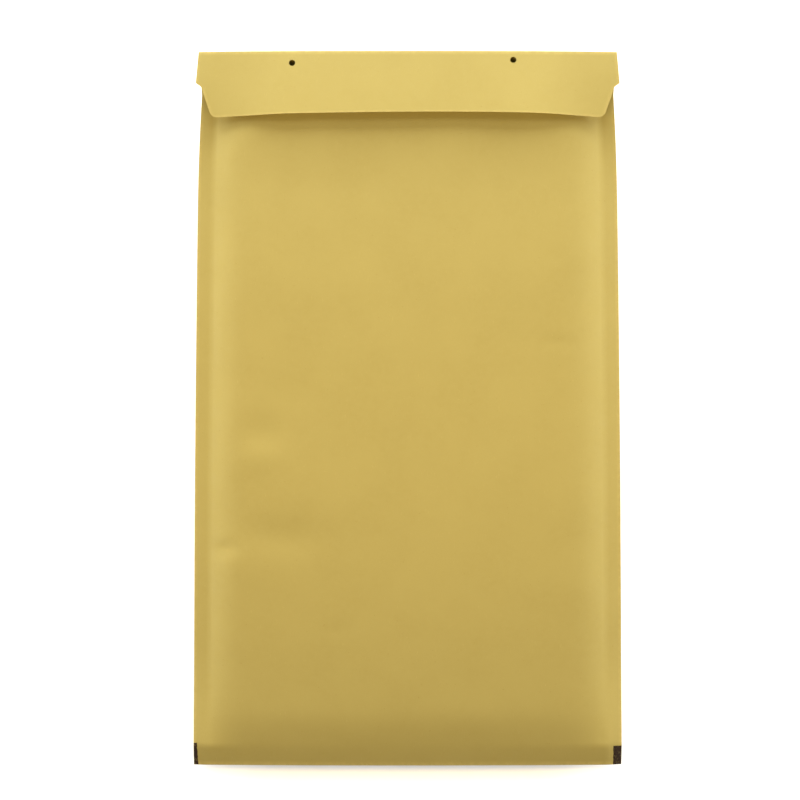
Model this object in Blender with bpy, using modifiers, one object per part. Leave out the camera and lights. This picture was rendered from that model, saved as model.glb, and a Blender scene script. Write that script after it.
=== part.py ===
"""A padded kraft envelope, empty, lying on its back with the flap folded down over its front.

The paper is one sheet: flap, crease, back panel, bottom fold, front panel. Inside it lies a pouch of
bubble film, welded flat along both sides and the bottom. A glue band and its peel-off strip sit on the
flap's inner face. X runs across the envelope, +Y towards the crease of the flap, +Z up.
The origin is the centre of the envelope's outline, at the height of the surface that it lies on.
"""
import math

import bmesh
import bpy
from mathutils import Vector

# Outline of the closed envelope
BODY_WIDTH = 0.1524
BODY_LENGTH = 0.2542
BODY_TAPER = 0.0020
MOUTH_DRAW_IN = 0.0009
SIDE_BOW = 0.0003
BOTTOM_BOW = 0.0003

# Welded margins: their widths, how far their edges hang down, and how much higher the bottom one stands
SIDE_SEAM = 0.0054
BOTTOM_SEAM = 0.0070
LEFT_DROOP = 0.0009
RIGHT_DROOP = 0.0018
DROOP_FADE = 0.0400
BOTTOM_DROOP = 0.00125
BOTTOM_LIFT = 0.0024
BOTTOM_LIFT_LENGTH = 0.0400

# Sheet thicknesses and the clearance between layers that touch
PAPER = 0.0002
FILM = 0.0003
WELDED_FILM = 0.0003
LAYER_GAP = 0.0003

# Bubbles and the room between them
BUBBLE_HEIGHT = 0.0028
BUBBLE_PITCH = 0.0105
POCKET_HEIGHT = 0.0050
POCKET_SIDE_WALL = 0.0025
POCKET_EDGE = 0.0002
LINING_SETBACK = 0.0010

# How the padded field rises out of its margins
SIDE_SHOULDER = 0.0150
BOTTOM_SHOULDER = 0.0110
MOUTH_SHOULDER = 0.0300
MOUTH_EASE = 0.0200
SHOULDER_POWER = 3.2
FRONT_CROWN = 0.0005

# Crease of the flap, which drops towards its ends, and the back panel that rises to it
CREASE_HEIGHT = 0.0125
CREASE_END_DROP = 0.0036
CREASE_DROP_POWER = 3.0
CREASE_RISE_LENGTH = 0.0240
CREASE_RISE_POWER = 2.2
MOUTH_TO_CREASE = 0.0155

# Flap, measured from the crease to its free edge, which is cut to a slight curve
FLAP_LENGTH = 0.0234
FLAP_TRIM = 0.0009
FLAP_TRIM_CENTRE = 0.0120
FLAP_TRIM_LEFT = 0.0820
FLAP_TRIM_RIGHT = 0.0600
FLARE_AT_CREASE = 0.00105
FLARE_AT_NOTCH = 0.00200
CORNER_TAPER = 0.0037
FLAP_NOTCH_START = 0.0108
FLAP_NOTCH_LENGTH = 0.0018
FLAP_REST_CLEARANCE = 0.0003
FLAP_END_ANGLE = math.radians(3.0)
FLAP_ANGLE_SOFTNESS = math.radians(5.0)

# Punched holes: place across the envelope and distance from the crease
HOLE_DIAMETER = 0.0021
HOLE_PLACES = ((-0.0410, 0.0041), (0.0374, 0.0030))

# Glue band and peel-off strip on the flap's inner face
GLUE_THICKNESS = 0.00015
GLUE_WIDTH = 0.0130
GLUE_FROM_EDGE = 0.0030
GLUE_FROM_CORNER = 0.0056
LINER_THICKNESS = 0.00015
LINER_SIDE_OVERLAP = 0.0010
LINER_END_OVERLAP = 0.0020

# Registration marks printed over the bottom fold
MARK_HEIGHT = 0.0080
MARK_WIDTH_LEFT = 0.0016
MARK_WIDTH_RIGHT = 0.0030

# Colours taken from the photograph, in linear light
KRAFT_COLOR = (0.62, 0.45, 0.13, 1.0)
MARK_COLOR = (0.045, 0.028, 0.012, 1.0)
FILM_COLOR = (0.80, 0.84, 0.86, 1.0)
GLUE_COLOR = (0.78, 0.70, 0.48, 1.0)
LINER_COLOR = (0.86, 0.85, 0.80, 1.0)

# Sizes that follow from the ones above
HALF_WIDTH = BODY_WIDTH / 2
HALF_LENGTH = BODY_LENGTH / 2
MOUTH_HALF_WIDTH = HALF_WIDTH - BODY_TAPER - MOUTH_DRAW_IN
CREASE_HALF_WIDTH = MOUTH_HALF_WIDTH + FLARE_AT_CREASE
NOTCH_HALF_WIDTH = MOUTH_HALF_WIDTH + FLARE_AT_NOTCH
EDGE_HALF_WIDTH = MOUTH_HALF_WIDTH - CORNER_TAPER
LAYER_STEP = PAPER + LAYER_GAP
MARGIN_HALF = LAYER_STEP + WELDED_FILM / 2
PAD_HEIGHT = 2 * (LAYER_STEP + FILM + BUBBLE_HEIGHT) + POCKET_HEIGHT
MARGIN_MIDDLE = PAD_HEIGHT / 2
POCKET_WALL_HALF = MARGIN_MIDDLE - LAYER_STEP - FILM
MOUTH_Y = HALF_LENGTH - MOUTH_TO_CREASE
CREASE_CENTRE_Y = HALF_LENGTH - MARGIN_HALF
BOTTOM_CENTRE_Y = MARGIN_HALF - HALF_LENGTH
GLUE_DEPTH = PAPER + LAYER_GAP
LINER_DEPTH = GLUE_DEPTH + GLUE_THICKNESS + LAYER_GAP
FLAP_LIFT_OVER_MOUTH = LINER_DEPTH + LINER_THICKNESS + FLAP_REST_CLEARANCE
GLUE_SIZE = (2 * (EDGE_HALF_WIDTH - GLUE_FROM_CORNER), GLUE_WIDTH)
LINER_SIZE = (GLUE_SIZE[0] + 2 * LINER_END_OVERLAP, GLUE_WIDTH + 2 * LINER_SIDE_OVERLAP)

# Fineness of the surfaces
SHOULDER_STEPS = (0.08, 0.18, 0.30, 0.45, 0.66, 1.0)
RISE_STEPS = (0.10, 0.22, 0.38, 0.58, 0.80, 1.0)
HALF_FIELD_COLUMNS = 3
FIELD_ROWS = 6
MOUTH_ROWS = 4
FOLD_STEPS = 5
HOLE_SIDES = 20
SLOPE_PROBE = 0.0001


def clamp(value):
    """Limit a value to the range from 0 to 1."""
    return min(max(value, 0.0), 1.0)


def eased(value):
    """Ease in and out between 0 and 1."""
    share = clamp(value)
    return share * share * (3.0 - 2.0 * share)


def blend(low, high, share):
    """Go from low to high as share goes from 0 to 1."""
    return low + (high - low) * share


def shoulder(distance, length):
    """Rise from 0 at a seam to 1 on the flat field, steep first and level at the end."""
    return 1.0 - (1.0 - clamp(distance / length)) ** SHOULDER_POWER


def body_half_width(y):
    """Half the width between the cut side edges, which draw in towards the mouth."""
    share = clamp((y + HALF_LENGTH) / (MOUTH_Y + HALF_LENGTH))
    near_mouth = clamp((y - MOUTH_Y + 2 * MOUTH_EASE) / (2 * MOUTH_EASE))
    if y > MOUTH_Y:
        beyond = clamp((y - MOUTH_Y) / (CREASE_CENTRE_Y - MOUTH_Y))
        return blend(MOUTH_HALF_WIDTH, CREASE_HALF_WIDTH, beyond)
    bow = SIDE_BOW * 4.0 * share * (1.0 - share)
    return HALF_WIDTH - BODY_TAPER * share - MOUTH_DRAW_IN * near_mouth ** 2 + bow


def flap_half_width(reach):
    """Half the flap's width at a distance from the crease: a notch on each side, then a taper."""
    notch_end = FLAP_NOTCH_START + FLAP_NOTCH_LENGTH
    if reach <= FLAP_NOTCH_START:
        return blend(CREASE_HALF_WIDTH, NOTCH_HALF_WIDTH, clamp(reach / FLAP_NOTCH_START))
    if reach <= notch_end:
        share = (reach - FLAP_NOTCH_START) / FLAP_NOTCH_LENGTH
        return blend(NOTCH_HALF_WIDTH, MOUTH_HALF_WIDTH, share)
    share = clamp((reach - notch_end) / (FLAP_LENGTH - notch_end))
    return blend(MOUTH_HALF_WIDTH, EDGE_HALF_WIDTH, share)


def padding(x, y, inset=0.0):
    """How far the padded field has risen at a place: 0 on the margins, 1 on the level field."""
    near_mouth = clamp((y - MOUTH_Y + MOUTH_EASE) / MOUTH_EASE)
    side_length = blend(SIDE_SHOULDER, MOUTH_SHOULDER, near_mouth ** 2)
    from_side = body_half_width(min(y, MOUTH_Y)) - SIDE_SEAM - inset - abs(x)
    from_bottom = y + HALF_LENGTH - BOTTOM_SEAM - inset
    return shoulder(from_side, side_length) * shoulder(from_bottom, BOTTOM_SHOULDER)


def margin_low(y):
    """Height of the margins' underside, before their edges hang down."""
    lift = BOTTOM_LIFT * (1.0 - eased((y + HALF_LENGTH) / BOTTOM_LIFT_LENGTH))
    return MARGIN_MIDDLE + lift - MARGIN_HALF


def droop(x, y):
    """How far the margins hang down at a place; at the sides this fades out towards the mouth."""
    most = RIGHT_DROOP if x > 0 else LEFT_DROOP
    from_edge = body_half_width(min(y, MOUTH_Y)) - abs(x)
    side = most * (1.0 - clamp(from_edge / SIDE_SEAM)) * eased((MOUTH_Y - y) / DROOP_FADE)
    return side + BOTTOM_DROOP * (1.0 - clamp((y + HALF_LENGTH) / BOTTOM_SEAM))


def crease_height(x):
    """Height of the crease's centre."""
    return CREASE_HEIGHT - CREASE_END_DROP * abs(x / HALF_WIDTH) ** CREASE_DROP_POWER


def back_slope(x):
    """Angle at which the back panel arrives at the crease."""
    level = margin_low(MOUTH_Y) * (1.0 - padding(x, MOUTH_Y))
    drop = crease_height(x) - MARGIN_HALF - level
    return math.atan(CREASE_RISE_POWER * drop / CREASE_RISE_LENGTH)


def back_height(x, y):
    """Height of the back panel's outer face, which rises from the table to the crease."""
    level = margin_low(y) * (1.0 - padding(x, y)) - droop(x, y)
    slope = back_slope(x)
    start_y = CREASE_CENTRE_Y + MARGIN_HALF * math.sin(slope)
    start_height = crease_height(x) - MARGIN_HALF * math.cos(slope)
    share = clamp((start_y - y) / CREASE_RISE_LENGTH)
    return level + (start_height - level) * (1.0 - share) ** CREASE_RISE_POWER


def margin_lift(y):
    """How much the side margins rise with the back panel near the crease."""
    edge = body_half_width(y)
    return back_height(edge, y) + droop(edge, y) - margin_low(y)


def front_height(x, y):
    """Height of the front panel's outer face."""
    crown = FRONT_CROWN * (1.0 - (x / HALF_WIDTH) ** 2)
    margin_high = margin_low(y) + 2 * MARGIN_HALF
    pad = (PAD_HEIGHT + crown - margin_high) * padding(x, y)
    return margin_high + margin_lift(y) + pad - droop(x, y)


def steepness(height, x, y):
    """Ratio of vertical to square-on thickness on a sloping face."""
    across = (height(x + SLOPE_PROBE, y) - height(x - SLOPE_PROBE, y)) / (2 * SLOPE_PROBE)
    along = (height(x, y + SLOPE_PROBE) - height(x, y - SLOPE_PROBE)) / (2 * SLOPE_PROBE)
    return math.sqrt(1.0 + across ** 2 + along ** 2)


def soft_maximum(first, second, softness):
    """The larger of two values, with a rounded change from one to the other."""
    return (first + second + math.hypot(first - second, softness)) / 2


def flap_angle(x):
    """Angle at which the flap leaves the crease, so that it comes to rest over the mouth's edge."""
    rest = front_height(x, MOUTH_Y) + FLAP_LIFT_OVER_MOUTH + PAPER
    rise = rest - crease_height(x) - MARGIN_HALF
    over_mouth = math.atan2(rise, MOUTH_TO_CREASE)
    return soft_maximum(over_mouth, FLAP_END_ANGLE, FLAP_ANGLE_SOFTNESS)


def around_fold(centre_y, centre_z, angle):
    """Point on the outer face of a fold; the angle is 0 level with its centre and grows upwards."""
    return centre_y + MARGIN_HALF * math.cos(angle), centre_z + MARGIN_HALF * math.sin(angle)


def trimmed(x, reach):
    """Distance from the crease after the free edge is cut shorter near its middle."""
    near_edge = clamp((reach - FLAP_NOTCH_START) / (FLAP_LENGTH - FLAP_NOTCH_START))
    half = FLAP_TRIM_LEFT if x < FLAP_TRIM_CENTRE else FLAP_TRIM_RIGHT
    return reach - FLAP_TRIM * clamp(1.0 - ((x - FLAP_TRIM_CENTRE) / half) ** 2) * near_edge


def flap_top(x, reach):
    """Place (y, z) of a point of the flap's outer face."""
    angle = flap_angle(x)
    y, z = around_fold(CREASE_CENTRE_Y, crease_height(x), math.pi / 2 - angle)
    return y - reach * math.cos(angle), z + reach * math.sin(angle)


def flap_place(x, reach, depth):
    """Place (y, z) of a point of the flap, at a depth under its outer face."""
    angle = flap_angle(x)
    y, z = flap_top(x, reach)
    slope = (flap_top(x + SLOPE_PROBE, reach)[1] - flap_top(x - SLOPE_PROBE, reach)[1]) / (2 * SLOPE_PROBE)
    drop = depth * math.hypot(1.0, slope)
    return y - drop * math.sin(angle), z - drop * math.cos(angle)


def bowed(x, y, z):
    """Point of the model, after the bottom edge takes its slight outward bow."""
    towards_bottom = clamp(-y / HALF_LENGTH)
    return Vector((x, y + BOTTOM_BOW * (x / HALF_WIDTH) ** 2 * towards_bottom, z))


def side_columns(with_marks):
    """Columns of a panel as (side, distance from the cut edge, share of what is left)."""
    insets = [0.0, SIDE_SEAM]
    if with_marks:
        insets += [MARK_WIDTH_LEFT, MARK_WIDTH_RIGHT]
    insets += [SIDE_SEAM + SIDE_SHOULDER * step for step in SHOULDER_STEPS]
    insets = sorted(set(insets))
    half = [(inset, 1.0) for inset in insets]
    half += [(insets[-1], 1.0 - step / HALF_FIELD_COLUMNS) for step in range(1, HALF_FIELD_COLUMNS)]
    left = [(-1, inset, share) for inset, share in half]
    right = [(1, inset, share) for inset, share in reversed(half)]
    return left + [(1, insets[-1], 0.0)] + right


def column_x(column, half_width):
    """Place of a column across a row of the given half width."""
    side, inset, share = column
    return side * (half_width - inset) * share


def flap_share(column):
    """Place of a column across the flap, as a share of the flap's half width at each row."""
    return column_x(column, CREASE_HALF_WIDTH) / CREASE_HALF_WIDTH


def panel_rows(top_y):
    """Rows of the front panel and the lining, from the bottom fold to top_y."""
    seam_y = BOTTOM_SEAM - HALF_LENGTH
    field_start = seam_y + BOTTOM_SHOULDER
    field_end = MOUTH_Y - MOUTH_EASE
    rows = [BOTTOM_CENTRE_Y, seam_y]
    rows += [seam_y + BOTTOM_SHOULDER * step for step in SHOULDER_STEPS]
    rows += [blend(field_start, field_end, step / FIELD_ROWS) for step in range(1, FIELD_ROWS + 1)]
    rows += [blend(field_end, top_y, step / MOUTH_ROWS) for step in range(1, MOUTH_ROWS + 1)]
    return rows


def sheet_rows():
    """Rows of the whole sheet, from the flap's free edge round to the mouth, as (zone, value)."""
    notch_end = FLAP_NOTCH_START + FLAP_NOTCH_LENGTH
    taper = [blend(FLAP_LENGTH, notch_end, step / 3) for step in range(4)]
    root = [blend(FLAP_NOTCH_START, 0.0, step / 4) for step in range(5)]
    fold = [step / FOLD_STEPS for step in range(1, FOLD_STEPS)]
    front = sorted(panel_rows(MOUTH_Y) + [MARK_HEIGHT - HALF_LENGTH])
    rise_end = HALF_LENGTH - CREASE_RISE_LENGTH
    back = [step for step in reversed(front) if step < rise_end]
    rows = [("flap", reach) for reach in taper + root]
    rows += [("crease", share) for share in fold]
    rows += [("rise", share) for share in (0.0,) + RISE_STEPS]
    rows += [("back", y) for y in back]
    rows += [("bottom", share) for share in fold]
    rows += [("front", y) for y in front]
    return rows


def sheet_point(row, column):
    """Point of the sheet's outer face."""
    zone, value = row
    if zone == "flap":
        x = flap_share(column) * flap_half_width(value)
        y, z = flap_top(x, trimmed(x, value))
    elif zone == "crease":
        x = column_x(column, CREASE_HALF_WIDTH)
        top = math.pi / 2 - flap_angle(x)
        under = back_slope(x) - math.pi / 2
        y, z = around_fold(CREASE_CENTRE_Y, crease_height(x), blend(top, under, value))
    elif zone == "rise":
        x = column_x(column, body_half_width(CREASE_CENTRE_Y - value * CREASE_RISE_LENGTH))
        y = CREASE_CENTRE_Y + MARGIN_HALF * math.sin(back_slope(x)) - value * CREASE_RISE_LENGTH
        z = back_height(x, y)
    elif zone == "bottom":
        x = column_x(column, body_half_width(BOTTOM_CENTRE_Y))
        angle = blend(1.5 * math.pi, 0.5 * math.pi, value)
        centre_z = margin_low(BOTTOM_CENTRE_Y) + MARGIN_HALF - droop(x, BOTTOM_CENTRE_Y)
        y, z = around_fold(BOTTOM_CENTRE_Y, centre_z, angle)
    else:
        y = value
        x = column_x(column, body_half_width(y))
        z = back_height(x, y) if zone == "back" else front_height(x, y)
    return bowed(x, y, z)


def grid_mesh(columns, rows):
    """Flat grid of faces whose vertices keep the number of their column and row."""
    mesh = bmesh.new()
    column_of = mesh.verts.layers.int.new("column")
    row_of = mesh.verts.layers.int.new("row")
    bmesh.ops.create_grid(mesh, x_segments=columns - 1, y_segments=rows - 1, size=1.0)
    for vert in mesh.verts:
        vert[column_of] = round((vert.co.x + 1.0) / 2.0 * (columns - 1))
        vert[row_of] = round((vert.co.y + 1.0) / 2.0 * (rows - 1))
    return mesh, column_of, row_of


def thickened(mesh, height_low, height_high):
    """Make a flat grid into a closed solid between two height functions of a vertex's place."""
    grown = bmesh.ops.extrude_face_region(mesh, geom=list(mesh.faces))
    upper = {item for item in grown["geom"] if isinstance(item, bmesh.types.BMVert)}
    for vert in mesh.verts:
        height = height_high if vert in upper else height_low
        vert.co = bowed(vert.co.x, vert.co.y, height(vert))
    bmesh.ops.recalc_face_normals(mesh, faces=mesh.faces)


def surface_material(name, color, roughness):
    """Plain material of one piece."""
    material = bpy.data.materials.new(name)
    material.use_nodes = True
    shader = material.node_tree.nodes["Principled BSDF"]
    shader.inputs["Base Color"].default_value = color
    shader.inputs["Roughness"].default_value = roughness
    shader.inputs["Metallic"].default_value = 0.0
    material.diffuse_color = color
    return material


def add_object(name, mesh, collection, materials):
    """Put a mesh into the scene as a named object with smooth shading."""
    data = bpy.data.meshes.new(name)
    mesh.to_mesh(data)
    mesh.free()
    for material in materials:
        data.materials.append(material)
    data.shade_smooth()
    data.set_sharp_from_angle(angle=math.radians(40))
    piece = bpy.data.objects.new(name, data)
    collection.objects.link(piece)
    return piece


def add_thickness(piece, thickness):
    """Thicken a sheet inwards from its outer face."""
    solidify = piece.modifiers.new("thickness", "SOLIDIFY")
    solidify.thickness = thickness
    solidify.offset = -1.0
    solidify.use_even_offset = True


def add_cut(piece, cutter):
    """Cut one piece with another."""
    cut = piece.modifiers.new("cut_" + cutter.name, "BOOLEAN")
    cut.operation = "DIFFERENCE"
    cut.solver = "EXACT"
    cut.object = cutter


def hide_cutter(cutter):
    """Keep a cutting shape out of the finished object."""
    cutter.hide_render = True
    cutter.display_type = "WIRE"


def is_marked(point):
    """Whether a face of the sheet lies under one of the printed registration marks."""
    near_bottom = point.y < MARK_HEIGHT - HALF_LENGTH
    edge = body_half_width(point.y)
    return near_bottom and (point.x < MARK_WIDTH_LEFT - edge or point.x > edge - MARK_WIDTH_RIGHT)


def make_paper(collection, cutters):
    """The folded sheet, with its printed marks and its two punched holes."""
    columns = side_columns(True)
    rows = sheet_rows()
    mesh, column_of, row_of = grid_mesh(len(columns), len(rows))
    for vert in mesh.verts:
        vert.co = sheet_point(rows[vert[row_of]], columns[vert[column_of]])
    for face in mesh.faces:
        face.material_index = int(is_marked(face.calc_center_median()))
    kraft = surface_material("kraft_paper", KRAFT_COLOR, 0.75)
    ink = surface_material("registration_ink", MARK_COLOR, 0.6)
    paper = add_object("paper_envelope", mesh, collection, [kraft, ink])
    add_thickness(paper, PAPER)
    for number, (x, reach) in enumerate(HOLE_PLACES, start=1):
        y, z = flap_place(x, reach, PAPER / 2)
        punch = bmesh.new()
        bmesh.ops.create_cone(punch, cap_ends=True, segments=HOLE_SIDES, radius1=HOLE_DIAMETER / 2,
                              radius2=HOLE_DIAMETER / 2, depth=4 * PAPER)
        cutter = add_object("hole_punch_%d" % number, punch, cutters, [])
        cutter.location = (x, y, z)
        cutter.rotation_euler = (-flap_angle(x), 0.0, 0.0)
        hide_cutter(cutter)
        add_cut(paper, cutter)
    return paper


def lining_low(x, y):
    """Underside of the lining, clear of the back panel."""
    return back_height(x, y) + LAYER_STEP * steepness(back_height, x, y)


def lining_high(x, y):
    """Top of the lining, clear of the front panel."""
    return front_height(x, y) - LAYER_STEP * steepness(front_height, x, y)


def pocket_half(x, y):
    """Half the height of the room between the two films, before the bubbles stand in it."""
    return blend(POCKET_EDGE / 2, POCKET_WALL_HALF, padding(x, y, POCKET_SIDE_WALL))


def is_bubble_centre(column, row):
    """Every third point of the triangular lattice, so that each bubble has six low neighbours."""
    return (column - row // 2 - row) % 3 == 0


def make_pocket_cutter(cutters):
    """The pouch's inside: two bubbled faces, open past the mouth."""
    spacing = BUBBLE_PITCH / math.sqrt(3)
    half_width = HALF_WIDTH - SIDE_SEAM - POCKET_SIDE_WALL
    low_y = BOTTOM_SEAM + POCKET_SIDE_WALL - HALF_LENGTH
    high_y = MOUTH_Y + LAYER_STEP
    columns = round(2 * half_width / spacing) + 1
    rows = round((high_y - low_y) / (BUBBLE_PITCH / 2)) + 1
    mesh, column_of, row_of = grid_mesh(columns, rows)
    for vert in mesh.verts:
        column, row = vert[column_of], vert[row_of]
        shift = 0.5 if row % 2 and 0 < column < columns - 1 else 0.0
        across = 2 * (column + shift) / (columns - 1) - 1
        vert.co.y = blend(low_y, high_y, row / (rows - 1))
        local_half = body_half_width(min(vert.co.y, MOUTH_Y)) - SIDE_SEAM - POCKET_SIDE_WALL
        vert.co.x = across * local_half
    bmesh.ops.triangulate(mesh, faces=mesh.faces, quad_method="SHORT_EDGE")

    def face_height(vert, side):
        x, y = vert.co.x, vert.co.y
        middle = (lining_low(x, y) + lining_high(x, y)) / 2
        bubble = 0.0
        if is_bubble_centre(vert[column_of], vert[row_of]):
            bubble = BUBBLE_HEIGHT * padding(x, y, POCKET_SIDE_WALL)
        return middle + side * (pocket_half(x, y) - bubble)

    thickened(mesh, lambda vert: face_height(vert, -1), lambda vert: face_height(vert, 1))
    cutter = add_object("pocket", mesh, cutters, [])
    hide_cutter(cutter)
    return cutter


def make_lining(collection, cutters):
    """The bubble-film pouch with its flat welded margins."""
    columns = side_columns(False)
    rows = panel_rows(MOUTH_Y - LINING_SETBACK)
    mesh, column_of, row_of = grid_mesh(len(columns), len(rows))
    for vert in mesh.verts:
        y = rows[vert[row_of]]
        vert.co = Vector((column_x(columns[vert[column_of]], body_half_width(y)), y, 0.0))
    thickened(mesh, lambda vert: lining_low(vert.co.x, vert.co.y),
              lambda vert: lining_high(vert.co.x, vert.co.y))
    film = surface_material("bubble_film", FILM_COLOR, 0.25)
    lining = add_object("bubble_lining", mesh, collection, [film])
    add_cut(lining, make_pocket_cutter(cutters))
    return lining


def make_strip(name, size, depth, thickness, material, collection):
    """A strip on the flap's inner face, at a depth under the flap's outer face."""
    length, width = size
    centre = FLAP_LENGTH - GLUE_FROM_EDGE - GLUE_WIDTH / 2
    reaches = (centre + width / 2, centre, centre - width / 2)
    shares = [flap_share(column) for column in side_columns(False)]
    shares = [share for share in shares if abs(share) * NOTCH_HALF_WIDTH < length / 2 - LAYER_GAP]
    mesh, column_of, row_of = grid_mesh(len(shares) + 2, len(reaches))
    for vert in mesh.verts:
        column, reach = vert[column_of], reaches[vert[row_of]]
        if 0 < column <= len(shares):
            x = shares[column - 1] * flap_half_width(reach)
        else:
            x = length / 2 if column else -length / 2
        y, z = flap_place(x, reach, depth)
        vert.co = Vector((x, y, z))
    strip = add_object(name, mesh, collection, [material])
    add_thickness(strip, thickness)
    return strip


def main():
    """Build the envelope in an empty scene."""
    for old in list(bpy.data.objects):
        bpy.data.objects.remove(old)
    envelope = bpy.data.collections.new("padded_envelope")
    cutters = bpy.data.collections.new("cutters")
    bpy.context.scene.collection.children.link(envelope)
    bpy.context.scene.collection.children.link(cutters)
    make_paper(envelope, cutters)
    make_lining(envelope, cutters)
    glue = surface_material("adhesive", GLUE_COLOR, 0.35)
    make_strip("adhesive_strip", GLUE_SIZE, GLUE_DEPTH, GLUE_THICKNESS, glue, envelope)
    liner = surface_material("release_paper", LINER_COLOR, 0.4)
    make_strip("release_liner", LINER_SIZE, LINER_DEPTH, LINER_THICKNESS, liner, envelope)


main()
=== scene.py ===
"""Padded kraft envelope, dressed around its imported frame.

The kraft sheet, the bubble-film pouch, the glue band and its release strip are each made by an operator,
and so is the studio. The sheet is one piece of paper: flap, crease, back panel, bottom fold and front panel.
"""
import math

import bmesh
import bpy
from bpy.props import FloatProperty, FloatVectorProperty, PointerProperty
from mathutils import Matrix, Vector, noise


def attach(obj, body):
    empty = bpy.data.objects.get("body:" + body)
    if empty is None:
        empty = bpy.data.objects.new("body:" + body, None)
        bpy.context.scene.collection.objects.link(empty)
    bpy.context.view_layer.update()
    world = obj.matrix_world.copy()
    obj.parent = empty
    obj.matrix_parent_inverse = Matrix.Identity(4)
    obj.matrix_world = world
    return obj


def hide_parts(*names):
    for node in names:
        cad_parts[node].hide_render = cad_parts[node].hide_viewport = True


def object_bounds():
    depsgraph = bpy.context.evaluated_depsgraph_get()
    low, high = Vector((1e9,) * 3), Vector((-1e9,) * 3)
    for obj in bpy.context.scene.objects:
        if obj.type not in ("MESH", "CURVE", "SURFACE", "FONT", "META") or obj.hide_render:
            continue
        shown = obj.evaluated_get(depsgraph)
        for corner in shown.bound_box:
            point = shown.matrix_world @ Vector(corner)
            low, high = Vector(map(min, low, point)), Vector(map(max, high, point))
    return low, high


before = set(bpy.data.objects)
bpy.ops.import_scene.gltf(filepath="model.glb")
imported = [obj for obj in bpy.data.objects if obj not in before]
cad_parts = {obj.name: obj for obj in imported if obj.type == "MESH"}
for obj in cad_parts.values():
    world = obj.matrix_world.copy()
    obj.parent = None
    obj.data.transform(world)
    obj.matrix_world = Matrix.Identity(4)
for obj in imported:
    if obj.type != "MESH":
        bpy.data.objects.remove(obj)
CAD_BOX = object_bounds()

bl_info = {
    "name": "Padded Envelope",
    "version": (1, 0, 0),
    "blender": (4, 5, 0),
    "location": "View3D > Sidebar > Envelope",
    "description": "Makes a padded kraft envelope with its bubble lining, flap and glue band",
    "category": "Object",
}

PHOTO_PIXELS = 800
SENSOR_WIDTH = 36.0
HALF_WIDTH = (CAD_BOX[1][0] - CAD_BOX[0][0]) / 2
HALF_LENGTH = (CAD_BOX[1][1] - CAD_BOX[0][1]) / 2

# Curves of the slopes, and the stretches in which heights fade
CREASE_RISE_POWER = 2.2
CREASE_DROP_POWER = 3.0
LEFT_SHOULDER_POWER = 2.2
RIGHT_SHOULDER_POWER = 2.7
BOTTOM_SHOULDER_POWER = 3.0
BOTTOM_LIFT_LENGTH = 0.040
FRONT_FALL_LENGTH = 0.110
MOUTH_FALL_LENGTH = 0.075
MOUTH_RISE_LENGTH = 0.034
DROOP_FADE = 0.040

# Unevenness of the side slopes: waves a metre, and where each side starts in the random field
RIDGE_WAVES = 38.0
LEFT_RIDGE_SEED = 11.0
RIGHT_RIDGE_SEED = 37.0

# Gentle waves of the front: waves a metre across and along, seed, share of the full height
FRONT_WAVES = ((26.0, 19.0, 3.0, 1.0), (70.0, 55.0, 9.0, 0.5))

# Flap: cut of its free edge, turn of its ends, its waves and sag
FLAP_TRIM_CENTRE = 0.012
FLAP_TRIM_LEFT = 0.082
FLAP_TRIM_RIGHT = 0.060
FLAP_END_ANGLE = math.radians(5.2)
FLAP_ANGLE_SOFTNESS = math.radians(3.0)
FLAP_WAVE = 0.0004
FLAP_WAVES = 45.0
FLAP_SAG_START = 0.054
FLAP_SAG_POWER = 1.4

# Punched holes: place across the flap and distance from the crease; the punch's length in papers
HOLE_PLACES = ((-0.0410, 0.0041), (0.0374, 0.0030))
PUNCH_SIDES = 32
PUNCH_LENGTH = 5

# Printed marks: width, height, lean of the left one, soft and ragged rim
MARK_LEFT = 0.0017
MARK_RIGHT = 0.0031
MARK_LEFT_TOP = 0.0082
MARK_RIGHT_TOP = 0.0071
MARK_LEAN = 0.05
MARK_SOFT = 0.0002
MARK_RAGGED = 0.0005

# Bubbles and the pouch's rim
BUBBLE_ROUNDNESS = 3
BUBBLE_FLATNESS = 0.8
POCKET_EDGE = 0.0002

# Making of the meshes: steps round a fold, and row spacing as shares of the mesh step
SLOPE_PROBE = 0.0001
FOLD_STEPS = 8
CORNER_ROWS = 0.3
NOTCH_ROWS = 0.4
RISE_ROWS = 1.2
BACK_ROWS = 2.2
# Stretch in which the paper's lightening at cut edges and creases fades: wear at the creases, a painted
# highlight along the cut edges
EDGE_WEAR_AND_HIGHLIGHT_FADE = 0.0010
SHARP_ANGLE = math.radians(50.0)

# Range in which most of a random field lies, and the Mix node's colour sockets
NOISE_SPREAD = (0.3, 0.7)
MIX_COLOR_A = 6
MIX_COLOR_B = 7
MIX_COLOR_RESULT = 2

# Soft dents of the front panel: centre x and y, half length, half width, depth, turn in degrees
SOFT_DENTS = (
    (-0.0440, -0.0452, 0.0170, 0.0054, 0.00030, -3.0),
    (-0.0650, -0.0496, 0.0046, 0.0026, 0.00042, 8.0),
    (-0.0505, -0.0086, 0.0085, 0.0060, 0.00044, 12.0),
    (-0.0430, 0.0052, 0.0090, 0.0070, 0.00026, 34.0),
    (0.0526, 0.0540, 0.0030, 0.0024, 0.00010, 30.0),
    (0.0535, 0.0236, 0.0065, 0.0022, 0.00012, -6.0),
    (-0.0255, -0.0790, 0.0060, 0.0020, 0.00008, 12.0),
)

# How far a dent reaches along and across, in its half length and width, and its raised rim
DENT_REACH_ALONG = 2.5
DENT_REACH_ACROSS = 3.5
DENT_RIM = 0.35

# Soft swellings beside the dents: centre x and y, radius, height
SOFT_SWELLS = (
    (-0.0530, -0.0165, 0.0060, 0.00030),
    (-0.0560, -0.0560, 0.0110, 0.00030),
    (-0.0420, -0.0300, 0.0110, 0.00022),
)

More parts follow.
